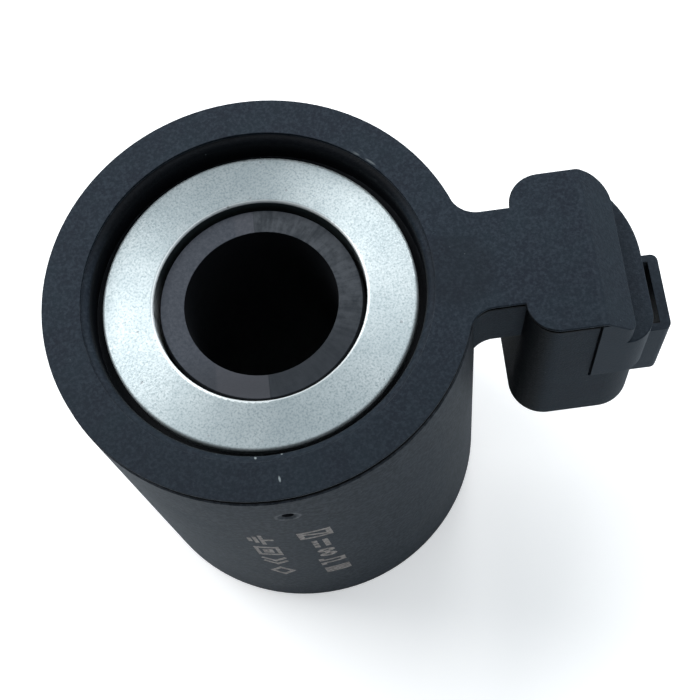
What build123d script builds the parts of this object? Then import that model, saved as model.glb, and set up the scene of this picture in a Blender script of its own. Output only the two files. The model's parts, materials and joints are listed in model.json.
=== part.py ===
from build123d import *
import os
from math import cos, radians, sin

os.makedirs("parts", exist_ok=True)

# Encapsulated solenoid coil for a cartridge valve, in millimetres.
# The origin is the centre of the bore on the bottom seating face. +Z runs up the
# bore and +X runs along the arm that carries the electrical connector.

# ---- Driving dimensions ------------------------------------------------------

# Stack along the bore
height = 50.0
rim_z = 48.9
boss_top_z = 47.8
collar_top_z = 46.65
well_floor_z = 46.4
flange_top_z = 44.6
winding_space_top_z = 41.0
lower_plate_thickness = 4.0
bobbin_flange = 1.4

# Radii about the bore
bore_radius = 8.2
barrel_radius = 9.6
collar_radius = 11.0
collar_taper = 0.3
collar_taper_height = 1.2
plate_hole_radius = 11.27
boss_radius = 16.62
boss_edge_round = 0.35
winding_radius = 17.0
tape_radius = 17.3
bobbin_flange_radius = 19.2
can_inner_radius = 20.0
can_radius = 22.5
cover_radius = 22.4
cover_waist_radius = 20.9
well_radius = 17.5
well_lip_radius = 18.4
well_lip_drop = 0.3

# Cover plate: a thin lip stands out over the side walls all the way round
lip = 0.25
lip_overhang = 0.3
lip_groove_depth = 0.5
lip_groove_height = 1.1
cover_edge_round = 0.12
ridge_round = 0.8
mouth_edge_round = 0.25
ledge_edge_round = 0.15
neck_edge_round = 0.3
neck_half_width = 5.47
neck_fillet = 3.0
neck_bottom_z = 40.2
head_back_x = 27.05
head_half_width = 8.95
head_back_radius = 3.4
ridge_x = 34.8
slope_end_x = 38.2
slope_end_z = 46.9
slope_near_radius = 1.0
slope_far_radius = 2.8
ledge_z = 44.0

# Connector shroud, mouth downwards
mouth_z = 22.3
mouth_back_x = 26.4
shroud_front_x = 40.8
mouth_half_width = 8.6
corner_radius = 4.2
shroud_wall = 1.6
socket_floor_z = 36.5
key_depth = 2.8
key_reach = 1.0
key_sagitta = 0.72
panel_back_x = 34.45
panel_bottom_z = 35.0
panel_top_z = 49.4
panel_corner_radius = 3.0
panel_seam_width = 0.2
panel_seam_drop = 0.8
panel_seam_depth = 0.3

# Latch bridge on the front of the shroud
bridge_front_x = 44.5
bridge_bar = 1.2
bridge_leg = 0.85
bridge_half_width = 4.65
bridge_top_z = 34.9
bridge_corner_radius = 0.85

# Window in the can, and the stakes that lock the can to the upper pole plate
window_half_width = neck_half_width - lip_overhang
notch_x = 16.9
rim_chamfer = 0.25
stake_z = 43.2
stake_angles = (-89.4, 30.6, 150.6)
stake_hole_radius = 0.65
stake_dish_radius = 1.25
stake_depth = 1.2

# Current path: posts, strips, pins, leads
line_y = 3.0
post_x = 18.2
post_width = 0.8
post_bottom_z = 39.9
post_top_z = 45.0
strip_z = 43.6
strip_thickness = 0.8
strip_width = 2.2
pin_x = 34.0
pin_radius = 0.785
pin_shank_radius = 1.0
pin_stud_radius = 0.5
pin_tip_z = 27.0
pin_tip_length = 0.7
pin_boss_radius = 1.9
pin_boss_height = 1.0
carrier_length = 7.4
carrier_half_width = 6.2
carrier_corner_radius = 1.5
wire_radius = 0.22
sleeve_radius = 0.42
lead_y = 4.3
lead_start_x = 8.9
lead_groove_z = 40.2
lead_hook_z = 42.2
wire_bend = 0.5
finish_exit_x = 16.2
finish_exit_z = 38.2
solder_radius = 0.75
solder_half_height = 0.6

# Sizes that follow from the ones above
winding_bottom_z = lower_plate_thickness + bobbin_flange
winding_top_z = winding_space_top_z - bobbin_flange
waist_top_z = height - lip
well_ledge_z = height - well_lip_drop
shroud_top_back_x = head_back_x + lip_overhang
shroud_top_front_x = shroud_front_x - lip_overhang
shroud_top_half_width = head_half_width - lip_overhang
shroud_top_radius = head_back_radius - lip_overhang


def export(piece, name):
    """Name the finished piece and write it as a STEP file of its own."""
    piece.part.label = name
    export_step(piece.part, f"parts/{name}.step")


def shroud_outline(back_x, front, half_width, back_radius, front_radius):
    """Plan of the connector: three round corners and one long keyed corner."""
    key_start = (front - key_depth, half_width)
    key_end = (front, key_reach)
    with BuildSketch() as outline:
        with BuildLine():
            Polyline(key_end, (front, -half_width), (back_x, -half_width), (back_x, half_width), key_start)
            SagittaArc(key_start, key_end, key_sagitta)
        make_face()
        fillet(outline.vertices().group_by(Axis.X)[0], back_radius)
        near_front = outline.vertices().group_by(Axis.Y)[0].sort_by(Axis.X)[-1]
        fillet(near_front, front_radius)
    return outline.sketch


def shrunk(sketch, inset):
    """The same outline, moved inwards by the inset."""
    with BuildSketch() as smaller:
        add(sketch)
        offset(amount=-inset, kind=Kind.INTERSECTION)
    return smaller.sketch


# ---- Plan outlines of the moulding -------------------------------------------

with BuildSketch() as neck_outline:
    neck_end_x = head_back_x + head_back_radius
    Circle(cover_radius)
    with Locations((neck_end_x / 2, 0)):
        Rectangle(neck_end_x, 2 * neck_half_width)
    ring_corners = neck_outline.vertices().filter_by_position(Axis.X, cover_radius - 2, cover_radius)
    fillet(ring_corners, neck_fillet)

with BuildSketch() as cover_outline:
    with Locations(((head_back_x + slope_end_x) / 2, 0)):
        Rectangle(slope_end_x - head_back_x, 2 * head_half_width)
    fillet(cover_outline.vertices().group_by(Axis.X)[0], head_back_radius)
    for which, radius in ((-1, slope_far_radius), (0, slope_near_radius)):
        slope_corners = cover_outline.vertices().group_by(Axis.X)[-1].sort_by(Axis.Y)
        fillet(slope_corners[which], radius)
    add(neck_outline.sketch)

neck_waist = shrunk(neck_outline.sketch, lip_overhang)
shroud_mouth = shroud_outline(
    mouth_back_x, shroud_front_x, mouth_half_width, corner_radius, corner_radius
)
shroud_top = shroud_outline(
    shroud_top_back_x, shroud_top_front_x, shroud_top_half_width, shroud_top_radius, corner_radius
)
panel_outline = shroud_outline(
    shroud_top_back_x, shroud_front_x, head_half_width, head_back_radius, panel_corner_radius
)
with BuildSketch() as groove_bottom:
    add(shrunk(neck_outline.sketch, lip_groove_depth))
    add(shrunk(shroud_top, lip_groove_depth - lip_overhang))

# ---- Magnetic circuit --------------------------------------------------------

with BuildPart() as flux_can:
    with BuildSketch():
        Circle(can_radius)
        Circle(can_inner_radius, mode=Mode.SUBTRACT)
    extrude(amount=rim_z)
    outer_edges = flux_can.edges().filter_by(GeomType.CIRCLE).filter_by(
        lambda edge: abs(edge.radius - can_radius) < 0.01
    )
    chamfer(outer_edges, rim_chamfer)
    with BuildSketch(Plane.XY.offset(winding_space_top_z)):
        with Locations((can_radius, 0)):
            Rectangle(2 * (can_radius - notch_x), 2 * window_half_width)
    extrude(amount=rim_z - winding_space_top_z, mode=Mode.SUBTRACT)
    stake_planes = []
    for angle in stake_angles:
        outward = Vector(cos(radians(angle)), sin(radians(angle)), 0)
        stake_planes.append(Plane(origin=outward * can_radius + Vector(0, 0, stake_z), z_dir=outward))
    with Locations(*stake_planes):
        CounterSinkHole(stake_hole_radius, stake_dish_radius, depth=stake_depth, counter_sink_angle=150)
export(flux_can, "flux_can")

with BuildPart() as lower_pole_plate:
    with BuildSketch():
        Circle(can_inner_radius)
        Circle(plate_hole_radius, mode=Mode.SUBTRACT)
    extrude(amount=lower_plate_thickness)
export(lower_pole_plate, "lower_pole_plate")

with BuildPart() as upper_pole_plate:
    with BuildSketch(Plane.XY.offset(winding_space_top_z)):
        Circle(can_inner_radius)
        with Locations((can_inner_radius, 0)):
            Rectangle(2 * (can_inner_radius - notch_x), 2 * window_half_width, mode=Mode.SUBTRACT)
    extrude(amount=flange_top_z - winding_space_top_z)
    with BuildSketch(Plane.XY.offset(flange_top_z)):
        Circle(boss_radius)
    extrude(amount=boss_top_z - flange_top_z)
    Hole(plate_hole_radius)
    fillet(upper_pole_plate.faces().sort_by(Axis.Z)[-1].edges(), boss_edge_round)
export(upper_pole_plate, "upper_pole_plate")

# ---- Current path ------------------------------------------------------------
# The start end of the winding is on the +Y side and the finish end on the -Y side.

sides = {"start": 1, "finish": -1}
posts, strips, pins, leads, solder_joints = {}, {}, {}, {}, {}

for end, side in sides.items():
    with BuildPart() as post:
        with BuildSketch(Plane.XY.offset(post_bottom_z)):
            with Locations((post_x, side * line_y)):
                Rectangle(post_width, post_width)
        extrude(amount=post_top_z - post_bottom_z)
        chamfer(post.faces().sort_by(Axis.Z)[-1].edges(), 0.15)
    export(post, f"{end}_post")
    posts[end] = post

    with BuildPart() as strip:
        with BuildSketch(Plane.XY.offset(strip_z)):
            with Locations(((post_x + pin_x) / 2, side * line_y)):
                SlotCenterToCenter(pin_x - post_x, strip_width)
            with Locations((post_x, side * line_y)):
                Rectangle(post_width, post_width, mode=Mode.SUBTRACT)
            with Locations((pin_x, side * line_y)):
                Circle(pin_stud_radius, mode=Mode.SUBTRACT)
        extrude(amount=strip_thickness)
    export(strip, f"{end}_terminal_strip")
    strips[end] = strip

    with BuildPart() as pin:
        with BuildSketch(Plane.XZ):
            with BuildLine():
                boss_face_z = socket_floor_z - pin_boss_height
                stud_top_z = strip_z + strip_thickness + 0.3
                Polyline(
                    (0, pin_tip_z),
                    (pin_radius / 2, pin_tip_z),
                    (pin_radius, pin_tip_z + pin_tip_length),
                    (pin_radius, boss_face_z),
                    (pin_shank_radius, boss_face_z),
                    (pin_shank_radius, strip_z),
                    (pin_stud_radius, strip_z),
                    (pin_stud_radius, stud_top_z),
                    (0, stud_top_z),
                    close=True,
                )
            make_face()
        revolve(axis=Axis.Z)
    pin.part = pin.part.moved(Location((pin_x, side * line_y, 0)))
    export(pin, f"{end}_contact_pin")
    pins[end] = pin

with BuildPart() as pin_carrier:
    with BuildSketch(Plane.XY.offset(socket_floor_z)):
        with Locations((pin_x, 0)):
            RectangleRounded(carrier_length, 2 * carrier_half_width, carrier_corner_radius)
    extrude(amount=strip_z - socket_floor_z)
    with BuildSketch(Plane.XY.offset(socket_floor_z - pin_boss_height)):
        with Locations((pin_x, line_y), (pin_x, -line_y)):
            Circle(pin_boss_radius)
    extrude(amount=pin_boss_height)
    for end in sides:
        add(pins[end].part, mode=Mode.SUBTRACT)
export(pin_carrier, "pin_carrier")

# The start lead climbs from the core in a groove under the top flange; the finish
# lead leaves the outermost layer. Both rise beside their post and hook on to it.
rise = (post_x, lead_y, lead_hook_z)
hook = (post_x, line_y + post_width / 2, lead_hook_z)
start_route = [(lead_start_x, lead_y, winding_top_z), (lead_start_x, lead_y, lead_groove_z)]
start_route += [(post_x, lead_y, lead_groove_z), rise, hook]
finish_route = [(finish_exit_x, lead_y, finish_exit_z), (post_x, lead_y, finish_exit_z), rise, hook]

for end, route in (("start", start_route), ("finish", finish_route)):
    with BuildPart() as lead:
        with BuildLine() as lead_path:
            FilletPolyline(*[(x, sides[end] * y, z) for x, y, z in route], radius=wire_bend)
        with BuildSketch(Plane(origin=lead_path.line @ 0, z_dir=lead_path.line % 0)):
            Circle(wire_radius)
        sweep()
    export(lead, f"{end}_lead")
    leads[end] = lead

    with BuildPart() as solder_joint:
        with BuildSketch(Plane.XY.offset(lead_hook_z - solder_half_height)):
            with Locations((post_x, sides[end] * line_y)):
                Circle(solder_radius)
        extrude(amount=2 * solder_half_height)
        fillet(solder_joint.edges().filter_by(GeomType.CIRCLE), solder_radius / 2)
        add(posts[end].part, mode=Mode.SUBTRACT)
        add(lead.part, mode=Mode.SUBTRACT)
    export(solder_joint, f"{end}_solder_joint")
    solder_joints[end] = solder_joint

with BuildPart() as start_lead_sleeve:
    with BuildSketch(Plane.YZ.offset(lead_start_x + wire_bend)):
        with Locations((lead_y, lead_groove_z)):
            Circle(sleeve_radius)
            Circle(wire_radius, mode=Mode.SUBTRACT)
    extrude(amount=post_x - lead_start_x - 2 * wire_bend)
export(start_lead_sleeve, "start_lead_sleeve")

# ---- Winding -----------------------------------------------------------------

with BuildPart() as bobbin:
    with BuildSketch(Plane.XZ):
        with BuildLine():
            Polyline(
                (bore_radius, 0),
                (collar_radius, 0),
                (collar_radius, lower_plate_thickness),
                (bobbin_flange_radius, lower_plate_thickness),
                (bobbin_flange_radius, winding_bottom_z),
                (barrel_radius, winding_bottom_z),
                (barrel_radius, winding_top_z),
                (bobbin_flange_radius, winding_top_z),
                (bobbin_flange_radius, winding_space_top_z),
                (collar_radius, winding_space_top_z),
                (collar_radius, collar_top_z - collar_taper_height),
                (collar_radius - collar_taper, collar_top_z),
                (bore_radius, collar_top_z),
                close=True,
            )
        make_face()
    revolve(axis=Axis.Z)
    with BuildSketch(Plane.XY.offset(winding_top_z)):
        with Locations(((lead_start_x + post_x) / 2, lead_y)):
            SlotCenterToCenter(post_x - lead_start_x, 2 * sleeve_radius)
    extrude(amount=lead_groove_z + sleeve_radius - winding_top_z, mode=Mode.SUBTRACT)
    for end in sides:
        add(posts[end].part, mode=Mode.SUBTRACT)
        add(leads[end].part, mode=Mode.SUBTRACT)
export(bobbin, "bobbin")

with BuildPart() as winding:
    with BuildSketch(Plane.XY.offset(winding_bottom_z)):
        Circle(winding_radius)
        Circle(barrel_radius, mode=Mode.SUBTRACT)
    extrude(amount=winding_top_z - winding_bottom_z)
    add(leads["finish"].part, mode=Mode.SUBTRACT)
export(winding, "winding")

with BuildPart() as winding_tape:
    with BuildSketch(Plane.XY.offset(winding_bottom_z)):
        Circle(tape_radius)
        Circle(winding_radius, mode=Mode.SUBTRACT)
    extrude(amount=winding_top_z - winding_bottom_z)
    add(leads["finish"].part, mode=Mode.SUBTRACT)
export(winding_tape, "winding_tape")

with BuildPart() as potting_resin:
    with BuildSketch(Plane.XZ):
        with BuildLine():
            Polyline(
                (bobbin_flange_radius, lower_plate_thickness),
                (can_inner_radius, lower_plate_thickness),
                (can_inner_radius, winding_space_top_z),
                (bobbin_flange_radius, winding_space_top_z),
                (bobbin_flange_radius, winding_top_z),
                (tape_radius, winding_top_z),
                (tape_radius, winding_bottom_z),
                (bobbin_flange_radius, winding_bottom_z),
                close=True,
            )
        make_face()
    revolve(axis=Axis.Z)
    add(leads["finish"].part, mode=Mode.SUBTRACT)
export(potting_resin, "potting_resin")

# ---- Moulded cover and connector ---------------------------------------------

slope = (slope_end_z - height) / (slope_end_x - ridge_x)
beyond_x = bridge_front_x + 1.0
beyond_z = height + slope * (beyond_x - ridge_x)

# The cover plate is one thin lip over the top and down the slope.
with BuildPart() as cover_plate:
    with BuildSketch(Plane.XY.offset(ledge_z)):
        add(cover_outline.sketch)
        Circle(well_lip_radius, mode=Mode.SUBTRACT)
    extrude(amount=height - ledge_z)
    with BuildSketch(Plane.XZ):
        with BuildLine():
            Polyline(
                (-can_radius, height),
                (ridge_x, height),
                (beyond_x, beyond_z),
                (beyond_x, beyond_z - lip),
                (ridge_x, height - lip),
                (-can_radius, height - lip),
                close=True,
            )
        make_face()
    extrude(amount=can_radius, both=True, mode=Mode.INTERSECT)
    top_face = cover_plate.faces().sort_by(Axis.Z)[-1]
    ridge_edge = top_face.edges().filter_by(Axis.Y).sort_by(Axis.X)[-1]
    fillet(ridge_edge, ridge_round)
    upper_faces = cover_plate.faces().filter_by(lambda face: face.normal_at().Z > 0.5)
    rim_edges = ShapeList(
        edge for edge in cover_plate.edges() if sum(edge in face.edges() for face in upper_faces) == 1
    )
    fillet(rim_edges, cover_edge_round)

with BuildPart() as connector_housing:
    # Ring that closes the can and forms the well round the pole plate's boss
    with BuildSketch(Plane.XZ):
        with BuildLine():
            well_round = well_lip_radius - well_radius
            lip_foot = (well_lip_radius, well_ledge_z)
            wall_start = (well_radius, well_ledge_z - well_round)
            Polyline(
                wall_start,
                (well_radius, well_floor_z),
                (boss_radius, well_floor_z),
                (boss_radius, flange_top_z),
                (can_inner_radius, flange_top_z),
                (can_inner_radius, rim_z),
                (cover_waist_radius, rim_z),
                (cover_waist_radius, waist_top_z),
                (cover_radius, waist_top_z),
                (cover_radius, height),
                (well_lip_radius, height),
                lip_foot,
            )
            RadiusArc(lip_foot, wall_start, -well_round)
        make_face()
    revolve(axis=Axis.Z)

    # Neck outside the can, and its root through the window and the plate's notch
    with BuildSketch(Plane.XY.offset(neck_bottom_z)):
        add(neck_waist)
        Circle(can_radius, mode=Mode.SUBTRACT)
    extrude(amount=waist_top_z - neck_bottom_z)
    for root_x, low_z, high_z in (
        (notch_x, winding_space_top_z, flange_top_z),
        (can_inner_radius - 1.0, flange_top_z, waist_top_z),
    ):
        with BuildSketch(Plane.XY.offset(low_z)):
            with Locations(((root_x + head_back_x) / 2, 0)):
                Rectangle(head_back_x - root_x, 2 * window_half_width)
        extrude(amount=high_z - low_z)

    # Shroud from the mouth up to the cover plate
    with BuildSketch(Plane.XY.offset(mouth_z)):
        add(shroud_mouth)
    with BuildSketch(Plane.XY.offset(waist_top_z)):
        add(shroud_top)
    loft(ruled=True)

    # Groove that sets the lip off from the neck and the head, as far as the ridge
    with BuildSketch(Plane.XY.offset(waist_top_z - lip_groove_height)):
        with Locations((cover_waist_radius, 0)):
            Rectangle(ridge_x - cover_waist_radius, 2 * can_radius, align=(Align.MIN, Align.CENTER))
        add(groove_bottom.sketch, mode=Mode.SUBTRACT)
    extrude(amount=lip_groove_height, mode=Mode.SUBTRACT)

    # Raised panel round the front of the shroud, with a seam along its edges
    with BuildSketch(Plane.XY.offset(panel_bottom_z - panel_seam_drop)):
        with Locations((panel_back_x - panel_seam_width, 0)):
            Rectangle(shroud_front_x, 2 * can_radius, align=(Align.MIN, Align.CENTER))
        add(shrunk(shroud_top, panel_seam_depth), mode=Mode.SUBTRACT)
    extrude(amount=panel_top_z - panel_bottom_z + panel_seam_drop, mode=Mode.SUBTRACT)
    with BuildSketch(Plane.XY.offset(panel_bottom_z)):
        add(panel_outline)
        with Locations((panel_back_x, 0)):
            Rectangle(
                shroud_front_x, 2 * can_radius, align=(Align.MIN, Align.CENTER), mode=Mode.INTERSECT
            )
    extrude(amount=panel_top_z - panel_bottom_z)

    # Step down to the ledge, with its outer edge rounded, then the slope that runs to it
    with BuildSketch(Plane.XY.offset(ledge_z)):
        with Locations((ridge_x, 0)):
            Rectangle(shroud_front_x, 2 * can_radius, align=(Align.MIN, Align.CENTER))
        add(cover_outline.sketch, mode=Mode.SUBTRACT)
    extrude(amount=height - ledge_z, mode=Mode.SUBTRACT)
    ledge_edges = connector_housing.edges().filter_by_position(Axis.Z, ledge_z - 0.01, ledge_z + 0.01)
    fillet(ledge_edges.filter_by(lambda edge: edge.center().X > slope_end_x + 1), ledge_edge_round)
    with BuildSketch(Plane.XZ):
        with BuildLine():
            Polyline(
                (ridge_x, height - lip),
                (beyond_x, beyond_z - lip),
                (beyond_x, height + 1),
                (ridge_x, height + 1),
                close=True,
            )
        make_face()
    extrude(amount=can_radius, both=True, mode=Mode.SUBTRACT)
    add(cover_plate.part)

    # Latch bridge
    with BuildSketch(Plane.XY.offset(mouth_z)) as bridge_outline:
        bridge_root_x = shroud_front_x - shroud_wall / 2
        with Locations((bridge_root_x, 0)):
            Rectangle(
                bridge_front_x - bridge_root_x, 2 * bridge_half_width, align=(Align.MIN, Align.CENTER)
            )
        fillet(bridge_outline.vertices().group_by(Axis.X)[-1], bridge_corner_radius)
        with Locations((shroud_front_x, 0)):
            Rectangle(
                bridge_front_x - bridge_bar - shroud_front_x,
                2 * (bridge_half_width - bridge_leg),
                align=(Align.MIN, Align.CENTER),
                mode=Mode.SUBTRACT,
            )
    extrude(amount=bridge_top_z - mouth_z)

    # Socket, and the pockets of the pieces that the moulding holds
    with BuildSketch(Plane.XY.offset(mouth_z)):
        add(shrunk(shroud_mouth, shroud_wall))
    extrude(amount=socket_floor_z - mouth_z, mode=Mode.SUBTRACT)

    # Rounded edges of the mouth and of the underside of the neck
    fillet(connector_housing.faces().sort_by(Axis.Z)[0].edges(), mouth_edge_round)
    neck_edges = connector_housing.edges().filter_by_position(
        Axis.Z, neck_bottom_z - 0.01, neck_bottom_z + 0.01
    )
    fillet(neck_edges.filter_by(Axis.X), neck_edge_round)
    add(pin_carrier.part, mode=Mode.SUBTRACT)
    for end in sides:
        for piece in (posts[end], strips[end], pins[end], leads[end], solder_joints[end]):
            add(piece.part, mode=Mode.SUBTRACT)
export(connector_housing, "connector_housing")
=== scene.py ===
import json
from math import ceil, cos, pi, radians, sin

import bmesh
import bpy
from mathutils import Matrix, Vector


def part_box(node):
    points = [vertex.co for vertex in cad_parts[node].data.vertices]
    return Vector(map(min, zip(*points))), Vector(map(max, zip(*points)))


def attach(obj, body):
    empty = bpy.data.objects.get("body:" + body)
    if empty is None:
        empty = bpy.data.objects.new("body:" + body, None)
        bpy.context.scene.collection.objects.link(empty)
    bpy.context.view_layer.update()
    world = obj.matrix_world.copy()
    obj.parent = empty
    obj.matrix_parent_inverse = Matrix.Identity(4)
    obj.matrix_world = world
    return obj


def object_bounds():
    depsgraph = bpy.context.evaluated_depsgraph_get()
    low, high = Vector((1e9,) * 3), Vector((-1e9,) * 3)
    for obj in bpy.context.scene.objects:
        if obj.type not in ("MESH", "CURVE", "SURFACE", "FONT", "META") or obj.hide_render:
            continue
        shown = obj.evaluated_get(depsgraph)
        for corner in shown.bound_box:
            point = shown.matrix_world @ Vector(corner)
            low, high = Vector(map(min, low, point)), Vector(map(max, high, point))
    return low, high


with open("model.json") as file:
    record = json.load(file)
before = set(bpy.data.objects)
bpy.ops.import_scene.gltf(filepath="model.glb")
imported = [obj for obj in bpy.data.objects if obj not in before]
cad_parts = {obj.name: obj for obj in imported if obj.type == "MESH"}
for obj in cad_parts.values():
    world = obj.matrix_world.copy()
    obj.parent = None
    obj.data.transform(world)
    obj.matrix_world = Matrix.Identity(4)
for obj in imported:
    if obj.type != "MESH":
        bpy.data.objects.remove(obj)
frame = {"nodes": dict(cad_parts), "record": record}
cad_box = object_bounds()

# Looks of an encapsulated solenoid coil. Lengths are in metres, in the frame of the
# CAD model: the bore is on Z, the coil stands on z = 0, and its arm points along +X.

MM = 0.001
UM = 0.000001

CAN_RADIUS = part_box("flux_can")[1].x
COLLAR_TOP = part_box("bobbin")[1].z
BOSS_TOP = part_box("upper_pole_plate")[1].z
CAN_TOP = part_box("flux_can")[1].z
COVER_TOP = cad_box[1].z

# The stakes in the can's wall, evenly spaced from the first, whose place is in turns
STAKES = 3
FIRST_STAKE = -89.4 / 360
STAKE_HEIGHT = 43.2 * MM
STAKE_DISH = 1.25 * MM
STAKE_HOLE = 0.65 * MM

# The cover: the edge of the well round the bore, the lip and the groove below it, the
# connector's shroud and raised front panel, and the latch bridge in front of that
WELL_EDGE = 18.4 * MM
LIP_BOTTOM = COVER_TOP - 0.25 * MM
GROOVE_BOTTOM = LIP_BOTTOM - 1.1 * MM
SHROUD_BACK = 25 * MM
PANEL_BACK = 34.45 * MM
PANEL_BOTTOM = 35 * MM
BRIDGE_BACK = 40.8 * MM

# The bright washer's hole, where its rim is rounded off
HOLE_EDGE = 12 * MM

# Where a finish stops at a line, it fades out over this distance
SHARP = 0.1 * MM


# ---- Node building -----------------------------------------------------------


class Graph:
    """One material's nodes. Each method adds a node and returns its output socket."""

    def __init__(self, name):
        self.material = bpy.data.materials.new(name)
        self.material.use_nodes = True
        self.nodes = self.material.node_tree.nodes
        self.links = self.material.node_tree.links
        self.nodes.clear()
        self.shader = self.nodes.new("ShaderNodeBsdfPrincipled")
        output = self.nodes.new("ShaderNodeOutputMaterial")
        self.links.new(self.shader.outputs["BSDF"], output.inputs["Surface"])
        self.place = self.nodes.new("ShaderNodeTexCoord").outputs["Object"]

    def put(self, socket, value):
        """Link another node's output to a socket, or set the socket's own value."""
        if isinstance(value, bpy.types.NodeSocket):
            self.links.new(value, socket)
        else:
            socket.default_value = value

    def surface(self, **inputs):
        """Set the shader's sockets: base_color, roughness and so on."""
        for name, value in inputs.items():
            label = {"specular": "Specular IOR Level"}.get(name, name.replace("_", " ").title())
            self.put(self.shader.inputs[label], value)

    def math(self, operation, a, b=0.0):
        node = self.nodes.new("ShaderNodeMath")
        node.operation = operation
        self.put(node.inputs[0], a)
        self.put(node.inputs[1], b)
        return node.outputs[0]

    def vector(self, operation, a, b=(0.0, 0.0, 0.0)):
        node = self.nodes.new("ShaderNodeVectorMath")
        node.operation = operation
        self.put(node.inputs[0], a)
        self.put(node.inputs[1], b)
        return node.outputs["Value" if operation in ("DISTANCE", "DOT_PRODUCT") else "Vector"]

    def axes(self, vector=None):
        """The x, y and z of a vector, or of the place on the piece."""
        node = self.nodes.new("ShaderNodeSeparateXYZ")
        self.put(node.inputs[0], vector or self.place)
        return node.outputs

    def step(self, value, low, high):
        """0 below low, 1 above high, and smooth between. With low above high it falls."""
        node = self.nodes.new("ShaderNodeMapRange")
        node.interpolation_type = "SMOOTHSTEP"
        self.put(node.inputs["Value"], value)
        self.put(node.inputs["From Min"], low)
        self.put(node.inputs["From Max"], high)
        return node.outputs["Result"]

    def spread(self, value, low, high):
        """A value from 0 to 1, spread over low to high."""
        return self.math("ADD", self.times(value, high - low), low)

    def times(self, *values):
        """The product: of masks, where they all hold, or of a mask and its strength."""
        product = values[0]
        for value in values[1:]:
            product = self.math("MULTIPLY", product, value)
        return product

    def facing(self):
        """The way that the surface faces, with no relief."""
        return self.nodes.new("ShaderNodeNewGeometry").outputs["Normal"]

    def noise(self, size, detail=3.0, rough=0.55, place=None, seed=0.0):
        """Cloudy values from 0 to 1, with features of about the given size."""
        node = self.nodes.new("ShaderNodeTexNoise")
        node.noise_dimensions = "4D"
        self.put(node.inputs["Vector"], place or self.place)
        self.put(node.inputs["W"], seed)
        self.put(node.inputs["Scale"], 1 / size)
        self.put(node.inputs["Detail"], detail)
        self.put(node.inputs["Roughness"], rough)
        return node.outputs["Fac"]

    def cells(self, size, place=None, output="Distance"):
        """Distance to, or colour of, the nearest of scattered points one size apart."""
        node = self.nodes.new("ShaderNodeTexVoronoi")
        self.put(node.inputs["Vector"], place or self.place)
        self.put(node.inputs["Scale"], 1 / size)
        return node.outputs[output]

    def mix(self, share, a, b):
        """Colour a, turning into colour b as share goes from 0 to 1."""
        node = self.nodes.new("ShaderNodeMix")
        node.data_type = "RGBA"
        self.put(node.inputs[0], share)
        for socket, colour in ((node.inputs[6], a), (node.inputs[7], b)):
            self.put(socket, colour if isinstance(colour, bpy.types.NodeSocket) else (*colour, 1.0))
        return node.outputs[2]

    def bump(self, height, depth, normal=None):
        """Relief: height from 0 to 1 stands for 0 to depth, in metres."""
        node = self.nodes.new("ShaderNodeBump")
        self.put(node.inputs["Strength"], 1.0)
        self.put(node.inputs["Distance"], depth)
        self.put(node.inputs["Height"], height)
        if normal:
            self.put(node.inputs["Normal"], normal)
        return node.outputs["Normal"]

    def rounded(self, radius):
        """The normal with every sharp edge softened to that radius."""
        node = self.nodes.new("ShaderNodeBevel")
        node.samples = 6
        self.put(node.inputs["Radius"], radius)
        return node.outputs["Normal"]

    def edges(self, radius, low=0.01, high=0.12):
        """1 within about the radius of an edge, 0 on open faces."""
        turn = self.math("SUBTRACT", 1.0, self.vector("DOT_PRODUCT", self.rounded(radius), self.facing()))
        return self.step(turn, low, high)

    def stretched(self, along=(1.0, 1.0, 1.0), turn=(0.0, 0.0, 0.0)):
        """The place on the piece, turned and scaled per axis, for drawn-out grain."""
        node = self.nodes.new("ShaderNodeMapping")
        self.put(node.inputs["Vector"], self.place)
        self.put(node.inputs["Rotation"], turn)
        return self.vector("MULTIPLY", node.outputs["Vector"], along)

    def around(self):
        """Cylinder coordinates about the bore: radius, arc share of a turn, height."""
        x, y, z = self.axes()
        arc = self.math("DIVIDE", self.math("ARCTAN2", y, x), 2 * pi)
        return self.length(x, y), arc, z

    def length(self, a, b):
        """The length of a line that goes a one way and b the other."""
        return self.math("SQRT", self.math("ADD", self.times(a, a), self.times(b, b)))

    def polar(self, outward=1.0, round_bore=1.0):
        """The place unrolled about the bore, scaled outward and round it, for rays and rings."""
        flat, arc, z = self.around()
        node = self.nodes.new("ShaderNodeCombineXYZ")
        self.put(node.inputs[0], self.times(flat, outward))
        self.put(node.inputs[1], self.times(arc, 2 * pi * CAN_RADIUS * round_bore))
        self.put(node.inputs[2], z)
        return node.outputs["Vector"]

    def near(self, spot, reach):
        """1 at a spot, falling to 0 at the reach."""
        return self.step(self.vector("DISTANCE", self.place, spot), reach, reach * 0.6)

    def specks(self, size, share, width=0.22, place=None):
        """Scattered dots: a share of the cells hold one, some width of a cell in radius."""
        place = place or self.place
        dot = self.step(self.cells(size, place), width, width / 2)
        channels = self.nodes.new("ShaderNodeSeparateColor")
        self.put(channels.inputs[0], self.cells(size, place, "Color"))
        chosen = self.math("LESS_THAN", channels.outputs[0], share)
        return self.times(dot, chosen)

    def scratches(self, spacing, length, turn, share=0.1):
        """Fine hairlines, far apart, that all run one way and break up."""
        level = self.noise(spacing, 0.0, 0.0, self.stretched((1.0, spacing / length, 1.0), turn))
        middle, hair = 0.5, 0.004
        below = self.step(level, middle - hair, middle)
        above = self.step(level, middle + hair, middle)
        broken = self.step(self.noise(length, 1.0, 0.5, seed=3.0), 1 - share - 0.1, 1 - share)
        return self.times(below, above, broken)


def finish(name):
    """Give every CAD node of one material slot the finish that the function builds."""

    def register(build):
        graph = Graph(name)
        build(graph)
        for row in frame["record"]["subparts"]:
            if row["material_slot"] == name:
                node = frame["nodes"][row["node"]]
                node.data.materials.clear()
                node.data.materials.append(graph.material)
        return build

    return register


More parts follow.
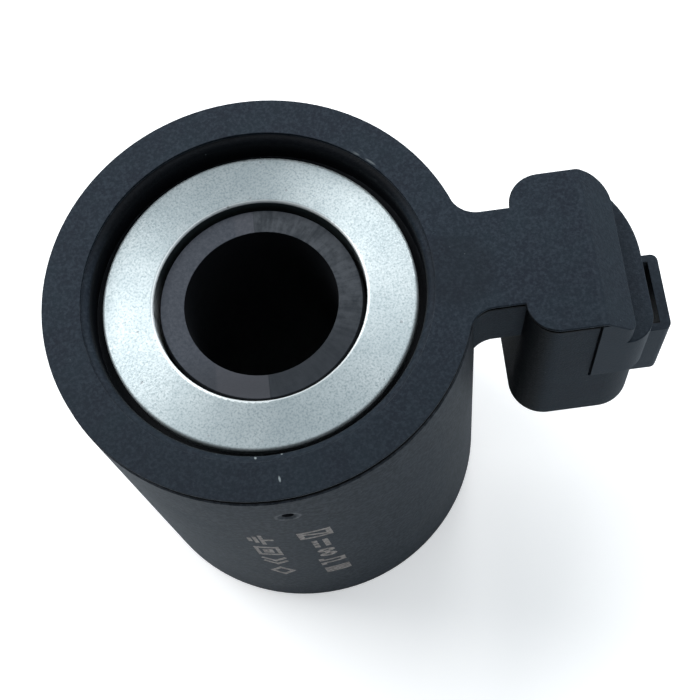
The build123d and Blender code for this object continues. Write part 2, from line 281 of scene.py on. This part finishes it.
# ---- Finishes ----------------------------------------------------------------


# Wear on the top of the cover: small nicks on the near side of the ring, a few drag
# marks on the far side of its inner edge, and a faint greasy stain where the arm leaves.
NICKED = (-0.5 * MM, -20 * MM, COVER_TOP)
DRAGGED = (13.2 * MM, 12.8 * MM, COVER_TOP)
GREASED = (20.5 * MM, -0.8 * MM, COVER_TOP)


def painted_light_front(g, colour):
    """Painted light: the upright faces of the front panel and the latch bridge, painted paler as if more
    light fell on them.
    """
    x, _, z = g.axes()
    upright = g.step(g.math("ABSOLUTE", g.axes(g.facing())[2]), 0.6, 0.2)
    on_panel = g.times(
        g.step(x, PANEL_BACK - SHARP, PANEL_BACK),
        g.step(z, PANEL_BOTTOM, PANEL_BOTTOM + SHARP),
    )
    on_bridge = g.step(x, BRIDGE_BACK, BRIDGE_BACK + SHARP)
    # Painted light: paler mostly on the upright faces, much less on the flat ones
    painted_light = g.times(g.math("MAXIMUM", g.times(on_panel, 0.65), on_bridge), g.spread(upright, 0.2, 1.0))
    return g.mix(g.times(painted_light, 0.75), colour, (0.05, 0.061, 0.075))


def painted_shade_hollows(g, colour):
    """Painted shade: the shroud's side towards the can, the groove under the lip and the well's wall,
    darkened as if in shadow.
    """
    x, y, z = g.axes()
    flat = g.around()[0]
    # Painted shade on the shroud's side that faces the can
    towards_can = g.step(g.axes(g.facing())[0], -0.1, -0.6)
    on_shroud = g.step(x, SHROUD_BACK, SHROUD_BACK + 1 * MM)
    colour = g.mix(g.times(towards_can, on_shroud, 0.9), colour, (0.001, 0.0015, 0.002))
    # Painted shade in the groove under the cover's lip
    in_groove = g.times(
        g.step(z, GROOVE_BOTTOM - 0.3 * MM, GROOVE_BOTTOM - 0.2 * MM),
        g.step(z, LIP_BOTTOM + 0.02 * MM, LIP_BOTTOM - 0.02 * MM),
        g.step(x, PANEL_BACK, PANEL_BACK - SHARP),
        g.step(flat, CAN_RADIUS - 1.5 * MM, CAN_RADIUS - 0.5 * MM),
    )
    colour = g.mix(in_groove, colour, (0.001, 0.0012, 0.0015))
    # Painted shade on the well's wall, deep down and all along its far side
    in_well = g.step(flat, WELL_EDGE, WELL_EDGE - SHARP)
    deep = g.step(z, COVER_TOP - 0.45 * MM, COVER_TOP - 1 * MM)
    far_side = g.step(y, 2 * MM, 11 * MM)
    return g.mix(g.times(in_well, 0.85, g.math("MAXIMUM", deep, far_side)), colour, (0.001, 0.001, 0.0015))


def worn_top(g, colour, cloud):
    """Hairlines, dust where the plastic is cloudy, and the drag marks and nicks."""
    lines = g.scratches(1.6 * MM, 9 * MM, (0.0, 0.0, radians(35)))
    dust = g.times(g.specks(0.7 * MM, 0.03, 0.12), g.step(cloud, 0.45, 0.62))
    drags = g.times(
        g.specks(0.8 * MM, 0.9, 0.24, g.stretched((0.22, 1.3, 1.0), (0.0, 0.0, radians(44)))),
        g.near(DRAGGED, 2.6 * MM),
        g.step(g.around()[0], WELL_EDGE + 1 * MM, WELL_EDGE + 0.6 * MM),
    )
    nicks = g.specks(0.9 * MM, 0.4, 0.18, g.stretched((1.0, 0.35, 1.0), (0.0, 0.0, radians(-8))))
    colour = g.mix(g.times(lines, 0.35), colour, (0.06, 0.07, 0.08))
    colour = g.mix(g.times(g.math("MAXIMUM", drags, dust), 0.7), colour, (0.12, 0.135, 0.145))
    return g.mix(g.times(nicks, g.near(NICKED, 6.5 * MM)), colour, (0.2, 0.23, 0.24))


@finish("cover_plastic")
def cover_plastic(g):
    """Black glass-filled nylon from a spark-eroded mould."""
    spark = g.noise(0.16 * MM, 3.0, 0.65)
    pores = g.cells(0.24 * MM)
    cloud = g.noise(5 * MM, 4.0, 0.6)
    haze = g.noise(0.34 * MM, 3.0, 0.6, seed=2.0)
    rub = g.times(g.edges(0.16 * MM), g.step(g.noise(1.5 * MM, 3.0, 0.7), 0.35, 0.7))
    # Painted shade: the cover darkens towards the near side
    near_side_shade = g.step(g.axes()[1], 6 * MM, -26 * MM)
    colour = g.mix(g.step(cloud, 0.3, 0.75), (0.0088, 0.0128, 0.021), (0.011, 0.0195, 0.0275))
    colour = g.mix(g.step(haze, 0.38, 0.72), colour, (0.0235, 0.0325, 0.044))
    colour = g.mix(g.times(near_side_shade, 0.4), colour, (0.006, 0.009, 0.0125))
    colour = g.mix(g.times(g.near(GREASED, 5 * MM), 0.35), colour, (0.006, 0.009, 0.013))
    # Painted light on the front panel and the latch bridge
    colour = painted_light_front(g, colour)
    # Painted shade in the hollows of the cover
    colour = painted_shade_hollows(g, colour)
    colour = g.mix(g.times(rub, 0.55), colour, (0.055, 0.063, 0.073))
    colour = worn_top(g, colour, cloud)
    normal = g.bump(spark, 30 * UM, g.rounded(0.12 * MM))
    normal = g.bump(pores, 16 * UM, normal)
    normal = g.bump(cloud, 40 * UM, normal)
    g.surface(
        base_color=colour,
        roughness=g.spread(g.math("SUBTRACT", haze, g.times(rub, 0.3)), 0.46, 0.68),
        specular=0.1,
        normal=normal,
    )


@finish("can_coating")
def can_coating(g):
    """Satin black coating over drawn steel."""
    arc, height = g.around()[1:]
    share = g.math("FRACT", g.math("ADD", g.times(arc, STAKES), 0.5 - STAKES * FIRST_STAKE))
    aside = g.times(g.math("SUBTRACT", share, 0.5), 2 * pi * CAN_RADIUS / STAKES)
    from_stake = g.length(aside, g.math("SUBTRACT", height, STAKE_HEIGHT))
    from_rim = g.math("ABSOLUTE", g.math("SUBTRACT", from_stake, STAKE_DISH))
    patchy = g.step(g.noise(0.6 * MM, 3.0, 0.7), 0.3, 0.65)
    scraped = g.times(g.step(from_rim, 0.32 * MM, 0.0), patchy)
    # Painted shade: the stake holes and the can's top edge under the cover's lip are painted near black
    shaded_hole_and_rim = g.step(from_stake, STAKE_HOLE + 0.04 * MM, STAKE_HOLE - 0.04 * MM)
    shaded_hole_and_rim = g.math("MAXIMUM", shaded_hole_and_rim, g.step(height, CAN_TOP - 0.12 * MM, CAN_TOP - 0.04 * MM))
    peel = g.noise(0.5 * MM, 3.0, 0.6)
    fine = g.noise(0.12 * MM, 2.0, 0.5)
    cloud = g.noise(7 * MM, 3.0, 0.6)
    drawn = g.noise(1.4 * MM, 3.0, 0.6, g.stretched((0.3, 0.3, 3.0)))
    rub = g.times(g.edges(0.2 * MM), g.step(g.noise(1.2 * MM, 3.0, 0.7), 0.3, 0.65))
    colour = g.mix(g.step(cloud, 0.3, 0.7), (0.0105, 0.0135, 0.018), (0.021, 0.0255, 0.0315))
    colour = g.mix(g.times(g.step(drawn, 0.4, 0.75), 0.45), colour, (0.033, 0.038, 0.045))
    colour = g.mix(g.times(g.step(peel, 0.4, 0.62), 0.85), colour, (0.042, 0.048, 0.058))
    colour = g.mix(g.times(rub, 0.6), colour, (0.16, 0.16, 0.165))
    colour = g.mix(g.times(scraped, 0.8), colour, (0.16, 0.16, 0.165))
    colour = g.mix(g.times(g.specks(0.8 * MM, 0.03, 0.14), 0.5), colour, (0.2, 0.2, 0.2))
    colour = g.mix(shaded_hole_and_rim, colour, (0.0012, 0.0013, 0.0015))
    normal = g.bump(peel, 16 * UM, g.rounded(0.08 * MM))
    normal = g.bump(fine, 5 * UM, normal)
    normal = g.bump(drawn, 14 * UM, normal)
    g.surface(base_color=colour, roughness=g.spread(cloud, 0.48, 0.64), specular=0.12, normal=normal)


@finish("zinc_plating")
def zinc_plating(g):
    """Bright zinc over fine-turned steel, a little grainy, with a few pits."""
    grain = g.noise(0.24 * MM, 3.0, 0.65)
    crystal = g.cells(0.34 * MM)
    cloud = g.noise(4 * MM, 3.0, 0.6)
    flat, _, height = g.around()
    turned = g.math("SINE", g.times(flat, 2 * pi / (0.24 * MM)))
    pits = g.specks(1.3 * MM, 0.16, 0.16)
    lines = g.scratches(2.2 * MM, 12 * MM, (0.0, 0.0, radians(-20)))
    # Painted highlight: the rounded rim round the washer's hole is painted near white
    rounded_off = g.step(g.axes(g.facing())[2], 0.99, 0.85)
    bright = g.times(rounded_off, g.step(flat, HOLE_EDGE + 1 * MM, HOLE_EDGE))
    # Painted shade on the far side of the washer's hole
    shaded_hole_wall = g.times(
        g.step(flat, HOLE_EDGE, HOLE_EDGE - 0.4 * MM),
        g.step(g.axes()[1], 0.0, 5 * MM),
        g.step(height, BOSS_TOP - 0.25 * MM, BOSS_TOP - 0.4 * MM),
    )
    colour = g.mix(g.step(cloud, 0.3, 0.75), (0.375, 0.425, 0.44), (0.455, 0.5, 0.51))
    colour = g.mix(g.step(grain, 0.4, 0.75), colour, (0.24, 0.29, 0.305))
    colour = g.mix(bright, colour, (0.86, 0.9, 0.9))
    colour = g.mix(shaded_hole_wall, colour, (0.12, 0.15, 0.16))
    colour = g.mix(g.times(pits, 0.55), colour, (0.2, 0.21, 0.22))
    normal = g.bump(grain, 9 * UM)
    normal = g.bump(crystal, 6 * UM, normal)
    normal = g.bump(g.spread(turned, 0.0, 0.5), 0.8 * UM, normal)
    normal = g.bump(g.math("MAXIMUM", pits, lines), -12 * UM, normal)
    outward = g.vector("NORMALIZE", g.vector("MULTIPLY", g.place, (1.0, 1.0, 0.0)))
    g.surface(
        base_color=colour,
        metallic=1.0,
        roughness=g.spread(grain, 0.4, 0.52),
        anisotropic=0.8,
        tangent=outward,
        normal=normal,
    )


@finish("bobbin_plastic")
def bobbin_plastic(g):
    """Dark glass-filled nylon. Two mould halves met on the Y axis and left a line."""
    x, y, z = g.axes()
    fibres = g.noise(0.3 * MM, 4.0, 0.7)
    grit = g.cells(0.22 * MM)
    rays = g.noise(1.6 * MM, 3.0, 0.65, g.polar(0.35, 1.4))
    blotch = g.noise(1.3 * MM, 4.0, 0.7, seed=4.0)
    smear = g.math("ADD", g.times(rays, 0.4), g.times(blotch, 0.6))
    scuffed = g.step(x, -0.02 * MM, 0.02 * MM)
    on_top = g.step(z, COLLAR_TOP - 0.15 * MM, COLLAR_TOP - 0.05 * MM)
    left = g.mix(g.step(fibres, 0.3, 0.75), (0.026, 0.032, 0.043), (0.054, 0.06, 0.074))
    # Painted shade: the left half darkens towards the near side
    left = g.mix(g.step(y, -4 * MM, -10 * MM), left, (0.022, 0.025, 0.032))
    right = g.mix(g.step(smear, 0.36, 0.62), (0.01, 0.0145, 0.02), (0.045, 0.051, 0.06))
    # Painted shade: the right half darkens towards the near side
    right = g.mix(g.times(g.step(y, 1 * MM, -8 * MM), 0.8), right, (0.006, 0.0095, 0.0145))
    colour = g.mix(scuffed, left, right)
    near_patch = g.times(g.step(x, -5.6 * MM, -5.2 * MM), g.step(y, 0.0, -2 * MM))
    far_patch = g.times(g.step(x, -2.2 * MM, -1.9 * MM), g.step(y, 0.0, 2 * MM))
    pale = g.times(g.math("MAXIMUM", near_patch, far_patch), g.math("SUBTRACT", 1.0, scuffed))
    colour = g.mix(g.times(pale, 0.15), colour, (0.095, 0.09, 0.1))
    line = g.times(g.step(g.math("ABSOLUTE", x), 0.07 * MM, 0.02 * MM), on_top)
    # Painted shade: all of the bobbin but the collar's top, the bore's wall among it, is painted near black
    colour = g.mix(on_top, (0.006, 0.007, 0.009), colour)
    normal = g.bump(fibres, 14 * UM, g.rounded(0.08 * MM))
    normal = g.bump(grit, 8 * UM, normal)
    normal = g.bump(line, 30 * UM, normal)
    g.surface(base_color=colour, roughness=g.spread(smear, 0.5, 0.7), specular=0.22, normal=normal)


@finish("carrier_plastic")
def carrier_plastic(g):
    """The pin carrier: the same kind of nylon, smoother, with a little fibre bloom."""
    bloom = g.noise(0.5 * MM, 4.0, 0.65)
    grain = g.noise(0.12 * MM, 2.0, 0.5)
    colour = g.mix(g.step(bloom, 0.4, 0.8), (0.012, 0.013, 0.015), (0.03, 0.031, 0.034))
    normal = g.bump(grain, 6 * UM, g.rounded(0.1 * MM))
    g.surface(base_color=colour, roughness=g.spread(bloom, 0.4, 0.6), specular=0.42, normal=normal)


@finish("magnet_wire")
def magnet_wire(g):
    """Enamelled copper wire, laid turn on turn along the bore."""
    arc, height = g.around()[1:]
    pitch = 0.44 * MM
    turns = g.times(g.math("ADD", height, g.times(arc, pitch)), 2 * pi / pitch)
    round_wire = g.math("SQRT", g.math("ABSOLUTE", g.math("SINE", g.times(turns, 0.5))))
    shade = g.noise(1.8 * MM, 3.0, 0.6)
    colour = g.mix(g.step(shade, 0.3, 0.75), (0.36, 0.11, 0.035), (0.62, 0.24, 0.09))
    # Painted shade in the grooves between the turns
    colour = g.mix(g.step(round_wire, 0.45, 0.1), colour, (0.08, 0.02, 0.01))
    normal = g.bump(round_wire, 110 * UM)
    g.surface(
        base_color=colour,
        metallic=0.85,
        roughness=g.spread(shade, 0.22, 0.4),
        coat_weight=0.6,
        coat_roughness=0.15,
        normal=normal,
    )


@finish("insulation_tape")
def insulation_tape(g):
    """Amber polyester film, wound with an overlap, so that its edges show as steps."""
    arc, height = g.around()[1:]
    width = 9 * MM
    lap = g.math("FRACT", g.math("DIVIDE", g.math("ADD", height, g.times(arc, width)), width))
    crease = g.noise(3 * MM, 3.0, 0.6, g.stretched((1.0, 1.0, 4.0)))
    ghost = g.noise(0.44 * MM, 1.0, 0.4, g.stretched((0.05, 0.05, 1.0)))
    colour = g.mix(g.step(crease, 0.3, 0.75), (0.5, 0.26, 0.04), (0.72, 0.43, 0.09))
    # Painted shade: a darker band along the step at each overlap
    colour = g.mix(g.step(lap, 0.94, 1.0), colour, (0.28, 0.13, 0.02))
    normal = g.bump(lap, 60 * UM)
    normal = g.bump(crease, 40 * UM, normal)
    normal = g.bump(ghost, 12 * UM, normal)
    g.surface(
        base_color=colour,
        roughness=g.spread(crease, 0.16, 0.36),
        specular=0.55,
        coat_weight=0.5,
        coat_roughness=0.08,
        normal=normal,
    )


@finish("lead_sleeve")
def lead_sleeve(g):
    """Varnished glass-fibre braid: two sets of strands that cross."""
    across = g.stretched(turn=(radians(40), 0.0, 0.0))
    x, _, z = g.axes()
    strand = 0.16 * MM
    one = g.math("SINE", g.times(g.math("ADD", x, z), 2 * pi / strand))
    two = g.math("SINE", g.times(g.math("SUBTRACT", x, z), 2 * pi / strand))
    weave = g.math("MAXIMUM", one, two)
    stain = g.noise(1.2 * MM, 3.0, 0.6, across)
    # Painted shade: darker in the gaps between the strands
    colour = g.mix(g.step(weave, -0.2, 0.8), (0.42, 0.36, 0.24), (0.78, 0.74, 0.62))
    colour = g.mix(g.times(g.step(stain, 0.5, 0.8), 0.5), colour, (0.55, 0.4, 0.2))
    g.surface(
        base_color=colour, roughness=g.spread(stain, 0.35, 0.6), specular=0.45, normal=g.bump(weave, 25 * UM)
    )


@finish("potting_resin")
def potting_resin(g):
    """Black resin, glossy where it cured against air, with small bubbles."""
    flow = g.noise(2.5 * MM, 3.0, 0.55)
    bubbles = g.specks(1.4 * MM, 0.2)
    colour = g.mix(g.step(flow, 0.3, 0.75), (0.008, 0.008, 0.009), (0.018, 0.017, 0.017))
    normal = g.bump(flow, 40 * UM)
    normal = g.bump(bubbles, -30 * UM, normal)
    g.surface(base_color=colour, roughness=g.spread(flow, 0.14, 0.34), specular=0.55, normal=normal)


@finish("terminal_brass")
def terminal_brass(g):
    """Stamped brass strip: rolling lines, sheared edges and a little tarnish."""
    rolled = g.noise(0.2 * MM, 3.0, 0.6, g.stretched((0.05, 1.0, 1.0)))
    tarnish = g.noise(1.6 * MM, 4.0, 0.65)
    colour = g.mix(g.step(tarnish, 0.35, 0.75), (0.78, 0.58, 0.28), (0.42, 0.27, 0.12))
    colour = g.mix(g.times(g.edges(0.08 * MM), 0.6), colour, (0.9, 0.74, 0.45))
    normal = g.bump(rolled, 4 * UM, g.rounded(0.05 * MM))
    g.surface(base_color=colour, metallic=1.0, roughness=g.spread(rolled, 0.22, 0.42), normal=normal)


@finish("contact_plating")
def contact_plating(g):
    """Nickel-plated contact pins, turned, with wiping marks along their length."""
    turned = g.noise(0.1 * MM, 2.0, 0.5, g.stretched((0.1, 0.1, 1.0)))
    wiped = g.noise(0.25 * MM, 2.0, 0.6, g.stretched((1.0, 1.0, 0.06)))
    colour = g.mix(g.step(wiped, 0.4, 0.75), (0.66, 0.64, 0.6), (0.8, 0.79, 0.76))
    normal = g.bump(turned, 1.5 * UM, g.rounded(0.06 * MM))
    g.surface(base_color=colour, metallic=1.0, roughness=g.spread(wiped, 0.16, 0.34), normal=normal)


@finish("solder")
def solder(g):
    """Tin solder, frozen with a slightly frosted skin."""
    frost = g.cells(0.12 * MM)
    flow = g.noise(0.5 * MM, 3.0, 0.6)
    colour = g.mix(g.step(flow, 0.3, 0.75), (0.6, 0.61, 0.63), (0.78, 0.78, 0.79))
    normal = g.bump(frost, 5 * UM)
    normal = g.bump(flow, 20 * UM, normal)
    g.surface(base_color=colour, metallic=1.0, roughness=g.spread(frost, 0.2, 0.4), normal=normal)


def etched_finish():
    """Coating turned tan and chalky by a laser, patchy where the beam overlapped."""
    g = Graph("etched_coating")
    hatch = g.noise(0.09 * MM, 1.0, 0.5, g.stretched((1.0, 1.0, 3.0)))
    patchy = g.noise(0.5 * MM, 3.0, 0.7)
    colour = g.mix(g.step(patchy, 0.35, 0.65), (0.19, 0.165, 0.15), (0.42, 0.37, 0.335))
    colour = g.mix(g.times(g.step(hatch, 0.5, 0.8), 0.4), colour, (0.2, 0.18, 0.17))
    g.surface(base_color=colour, roughness=0.75, specular=0.3, normal=g.bump(hatch, 5 * UM))
    return g.material


# ---- Etched marks ------------------------------------------------------------
# A symbol is drawn on a cell 1 wide and 1 high, as bars (x0, y0, x1, y1) and rings.

BAR_WIDTH = 0.15


def bar(x0, y0, x1, y1):
    """A straight stroke between two points, as the four corners of its outline."""
    along = Vector((x1 - x0, y1 - y0)).normalized() * BAR_WIDTH / 2
    side = Vector((-along.y, along.x))
    start, end = Vector((x0, y0)), Vector((x1, y1))
    return [start - along + side, start - along - side, end + along - side, end + along + side]


def frame_of(low, high):
    """The four strokes of a box between two corners."""
    (x0, y0), (x1, y1) = low, high
    return [bar(x0, y0, x1, y0), bar(x1, y0, x1, y1), bar(x1, y1, x0, y1), bar(x0, y1, x0, y0)]


def ring(x, y, radius, sides=14):
    """A circle of short strokes."""
    turns = [2 * pi * k / sides for k in range(sides)]
    points = [(x + radius * cos(turn), y + radius * sin(turn)) for turn in turns]
    return [bar(*points[k - 1], *points[k]) for k in range(sides)]


DIRECT_CURRENT = [bar(0.1, 0.65, 0.9, 0.65)] + [bar(x, 0.35, x + 0.12, 0.35) for x in (0.1, 0.44, 0.78)]
COIL = frame_of((0.15, 0.12), (0.85, 0.88)) + [bar(0.32, 0.12, 0.68, 0.88)]
TERMINALS = ring(0.22, 0.5, 0.16) + ring(0.8, 0.5, 0.16) + [bar(0.4, 0.5, 0.62, 0.5)]
DUTY = [bar(0.12, 0.2, 0.3, 0.2), bar(0.3, 0.2, 0.3, 0.8), bar(0.3, 0.8, 0.7, 0.8), bar(0.7, 0.8, 0.7, 0.2)]
DUTY += [bar(0.7, 0.2, 0.88, 0.2)]
WINDINGS = [bar(x, 0.2, x, 0.8) for x in (0.2, 0.4, 0.6, 0.8)]
EARTH = [bar(0.5, 0.55, 0.5, 0.9)]
EARTH += [bar(0.5 - half, y, 0.5 + half, y) for half, y in ((0.38, 0.55), (0.24, 0.32), (0.1, 0.1))]
INSULATED = frame_of((0.12, 0.1), (0.88, 0.9)) + frame_of((0.38, 0.38), (0.62, 0.62))
ARROWS = [bar(x, y, x + 0.3, 0.5) for x in (0.15, 0.5) for y in (0.1, 0.9)]
SEALED = [bar(x, 0.5, 0.5, y) for x in (0.1, 0.9) for y in (0.08, 0.92)]

# Each row runs down the can. Its angle is that of the foot of the symbols, in degrees,
# and its lean is how far it drifts round the can for each metre down.
MARK_ROWS = (
    {
        "foot_angle": -90.2,
        "lean": 0.045,
        "top": 35.6 * MM,
        "pitch": 4.85 * MM,
        "size": (3.7 * MM, 4.1 * MM),
        "symbols": (COIL, DIRECT_CURRENT, TERMINALS, DUTY, WINDINGS),
    },
    {
        "foot_angle": -104.2,
        "lean": 0.02,
        "top": 35.6 * MM,
        "pitch": 5.65 * MM,
        "size": (4.8 * MM, 3.0 * MM),
        "symbols": (EARTH, INSULATED, ARROWS, SEALED),
    },
)
MARK_PROUD = 6 * UM
MARK_THICK = 30 * UM
MARK_SLICE = 0.4 * MM


def on_can(row, across, up):
    """The way out of the can's wall, and the height: across runs down it, up round it."""
    angle = radians(row["foot_angle"]) + (up + row["lean"] * across) / CAN_RADIUS
    return Vector((cos(angle), sin(angle), 0)), row["top"] - across


def stroke(mesh, row, place, corners):
    """One bar of the symbol at a place in a row: a thin closed patch, bent in slices."""
    wide, high = row["size"]
    start_left, start_right, end_right, end_left = corners
    slices = ceil((end_left - start_left).length * high / MARK_SLICE)
    loops = []
    for cut in range(slices + 1):
        left = start_left.lerp(end_left, cut / slices)
        right = start_right.lerp(end_right, cut / slices)
        loop = []
        for corner, depth in ((left, 0), (right, 0), (right, MARK_THICK), (left, MARK_THICK)):
            across = place * row["pitch"] + corner.x * wide
            outward, z = on_can(row, across, corner.y * high)
            radius = CAN_RADIUS + MARK_PROUD - depth
            loop.append(mesh.verts.new(outward * radius + Vector((0, 0, z))))
        loops.append(loop)
    mesh.faces.new(loops[0])
    mesh.faces.new(loops[-1][::-1])
    for near, far in zip(loops, loops[1:]):
        for k in range(len(near)):
            mesh.faces.new((near[k - 1], far[k - 1], far[k], near[k]))


def etched_marks():
    """Both rows of symbols, as one piece that follows the can's wall."""
    mesh = bmesh.new()
    for row in MARK_ROWS:
        for place, symbol in enumerate(row["symbols"]):
            for corners in symbol:
                stroke(mesh, row, place, corners)
    bmesh.ops.recalc_face_normals(mesh, faces=mesh.faces)
    data = bpy.data.meshes.new("etched_marks")
    mesh.to_mesh(data)
    piece = bpy.data.objects.new("etched_marks", data)
    bpy.context.scene.collection.objects.link(piece)
    data.materials.append(etched_finish())
    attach(piece, "root")


etched_marks()


# ---- Floor, light and camera -------------------------------------------------


def sheet(name, z, colour, glow):
    """A plain sheet of paper, large enough for a low view."""
    half = 1.5
    corners = [(x * half, y * half, z) for x, y in ((-1, -1), (1, -1), (1, 1), (-1, 1))]
    data = bpy.data.meshes.new(name)
    data.from_pydata(corners, [], [(0, 1, 2, 3)])
    piece = bpy.data.objects.new(name, data)
    bpy.context.scene.collection.objects.link(piece)
    g = Graph(name)
    g.surface(
        base_color=g.mix(g.noise(60 * MM, 2.0, 0.5), colour, (0.94, 0.94, 0.94)),
        roughness=0.8,
        specular=0.2,
        emission_color=(1.0, 1.0, 1.0, 1.0),
        emission_strength=glow,
        normal=g.bump(g.noise(0.8 * MM, 2.0), 10 * UM),
    )
    data.materials.append(g.material)
    return piece


def floor():
    """A white floor that is only seen, over a greyer one that only lights the coil."""
    seen = sheet("floor", 0.0, (0.92, 0.92, 0.92), 0.38)
    seen.visible_diffuse = False
    seen.visible_glossy = False
    seen.visible_shadow = False
    sheet("floor_bounce", -1 * MM, (0.68, 0.78, 0.86), 0.0).visible_camera = False


def softbox(name, place, size, power):
    """A square soft white light that faces the coil."""
    data = bpy.data.lights.new(name, "AREA")
    data.size = size
    data.energy = power
    light = bpy.data.objects.new(name, data)
    light.location = place
    towards_coil = Vector((0, 0, COVER_TOP / 2)) - Vector(place)
    light.rotation_euler = towards_coil.to_track_quat("-Z", "Y").to_euler()
    bpy.context.scene.collection.objects.link(light)


# The way to the bright side of the sky: beyond the coil, to its right and high up
BRIGHT_SIDE = (0.4, 0.55, 0.73)


def studio():
    """Light from one side of the sky, a large softbox on the left and a small one behind.

    The camera sees a white sky. What lights the coil fades to grey away from its bright side.
    """
    scene = bpy.context.scene
    world = bpy.data.worlds.new("studio")
    scene.world = world
    world.use_nodes = True
    nodes, links = world.node_tree.nodes, world.node_tree.links
    toward = nodes.new("ShaderNodeVectorMath")
    toward.operation = "DOT_PRODUCT"
    toward.inputs[1].default_value = BRIGHT_SIDE
    links.new(nodes.new("ShaderNodeTexCoord").outputs["Generated"], toward.inputs[0])
    rise = nodes.new("ShaderNodeMapRange")
    rise.interpolation_type = "SMOOTHSTEP"
    rise.inputs["From Min"].default_value = 0.1
    rise.inputs["From Max"].default_value = 0.75
    links.new(toward.outputs["Value"], rise.inputs["Value"])
    sky = nodes.new("ShaderNodeMix")
    sky.data_type = "RGBA"
    sky.inputs[6].default_value = (0.1, 0.11, 0.12, 1.0)
    sky.inputs[7].default_value = (0.9, 0.97, 1.02, 1.0)
    links.new(rise.outputs["Result"], sky.inputs[0])
    seen = nodes.new("ShaderNodeMix")
    seen.data_type = "RGBA"
    seen.inputs[7].default_value = (1.0, 1.0, 1.0, 1.0)
    links.new(nodes.new("ShaderNodeLightPath").outputs["Is Camera Ray"], seen.inputs[0])
    links.new(sky.outputs[2], seen.inputs[6])
    links.new(seen.outputs[2], nodes["Background"].inputs["Color"])
    softbox("left_light", (-0.42, 0.28, 0.54), 0.42, 3.4)
    softbox("back_light", (0.2, 0.5, 0.5), 0.28, 1.7)
    scene.view_settings.view_transform = "Standard"


def camera():
    """High over the near side, with a slight roll."""
    data = bpy.data.cameras.new("camera")
    data.lens = 66.527
    data.sensor_width = 36.0
    data.shift_x = -0.04963
    data.shift_y = 0.026
    data.clip_start = 0.005
    data.dof.use_dof = False
    place = Vector((0.013118, -0.055005, 0.171482))
    target = Vector((0.011848, -0.003054, 0.030))
    roll = radians(8.911)
    forward = (target - place).normalized()
    level = forward.cross(Vector((0, 0, 1))).normalized()
    upright = level.cross(forward)
    up = upright * cos(roll) + level * sin(roll)
    right = forward.cross(up)
    view = bpy.data.objects.new("camera", data)
    view.matrix_world = Matrix((
        (right.x, up.x, -forward.x, place.x),
        (right.y, up.y, -forward.y, place.y),
        (right.z, up.z, -forward.z, place.z),
        (0, 0, 0, 1),
    ))
    bpy.context.scene.collection.objects.link(view)
    bpy.context.scene.camera = view


floor()
studio()
camera()
